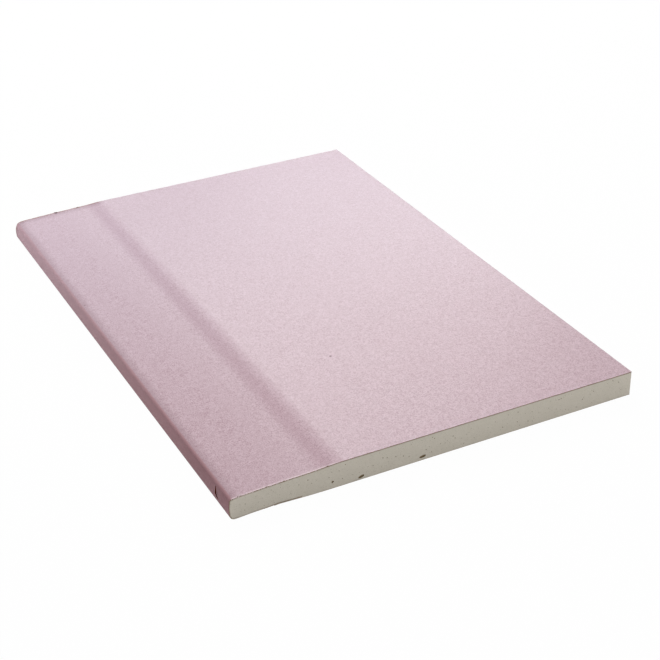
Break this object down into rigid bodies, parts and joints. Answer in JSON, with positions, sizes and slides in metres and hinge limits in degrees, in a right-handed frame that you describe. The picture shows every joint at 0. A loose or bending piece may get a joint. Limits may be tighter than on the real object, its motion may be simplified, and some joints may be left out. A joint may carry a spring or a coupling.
{
  "type": "drywall sheet",
  "caption": "Flat cut piece of pink-faced drywall: a gypsum core between papers, with a tapered paper-bound long edge and square-cut sides, for lining walls and ceilings.",
  "frame": {"origin": "middle of the back, on the surface that the sheet lies on", "axes": "+Z out of the pink face, +Y along the bound edge, +X from the bound edge to the cut edge opposite"},
  "size_m": [0.205, 0.298, 0.0125],
  "materials": {
    "gypsum": "matte cut gypsum with small air pores",
    "face_liner": "matte pink liner paper with fine fibre mottling",
    "back_liner": "matte grey-brown recycled liner paper"
  },
  "bodies": {
    "root": {"gypsum_core": "gypsum", "face_paper": "face_liner", "back_paper": "back_liner"}
  },
  "joints": []
}
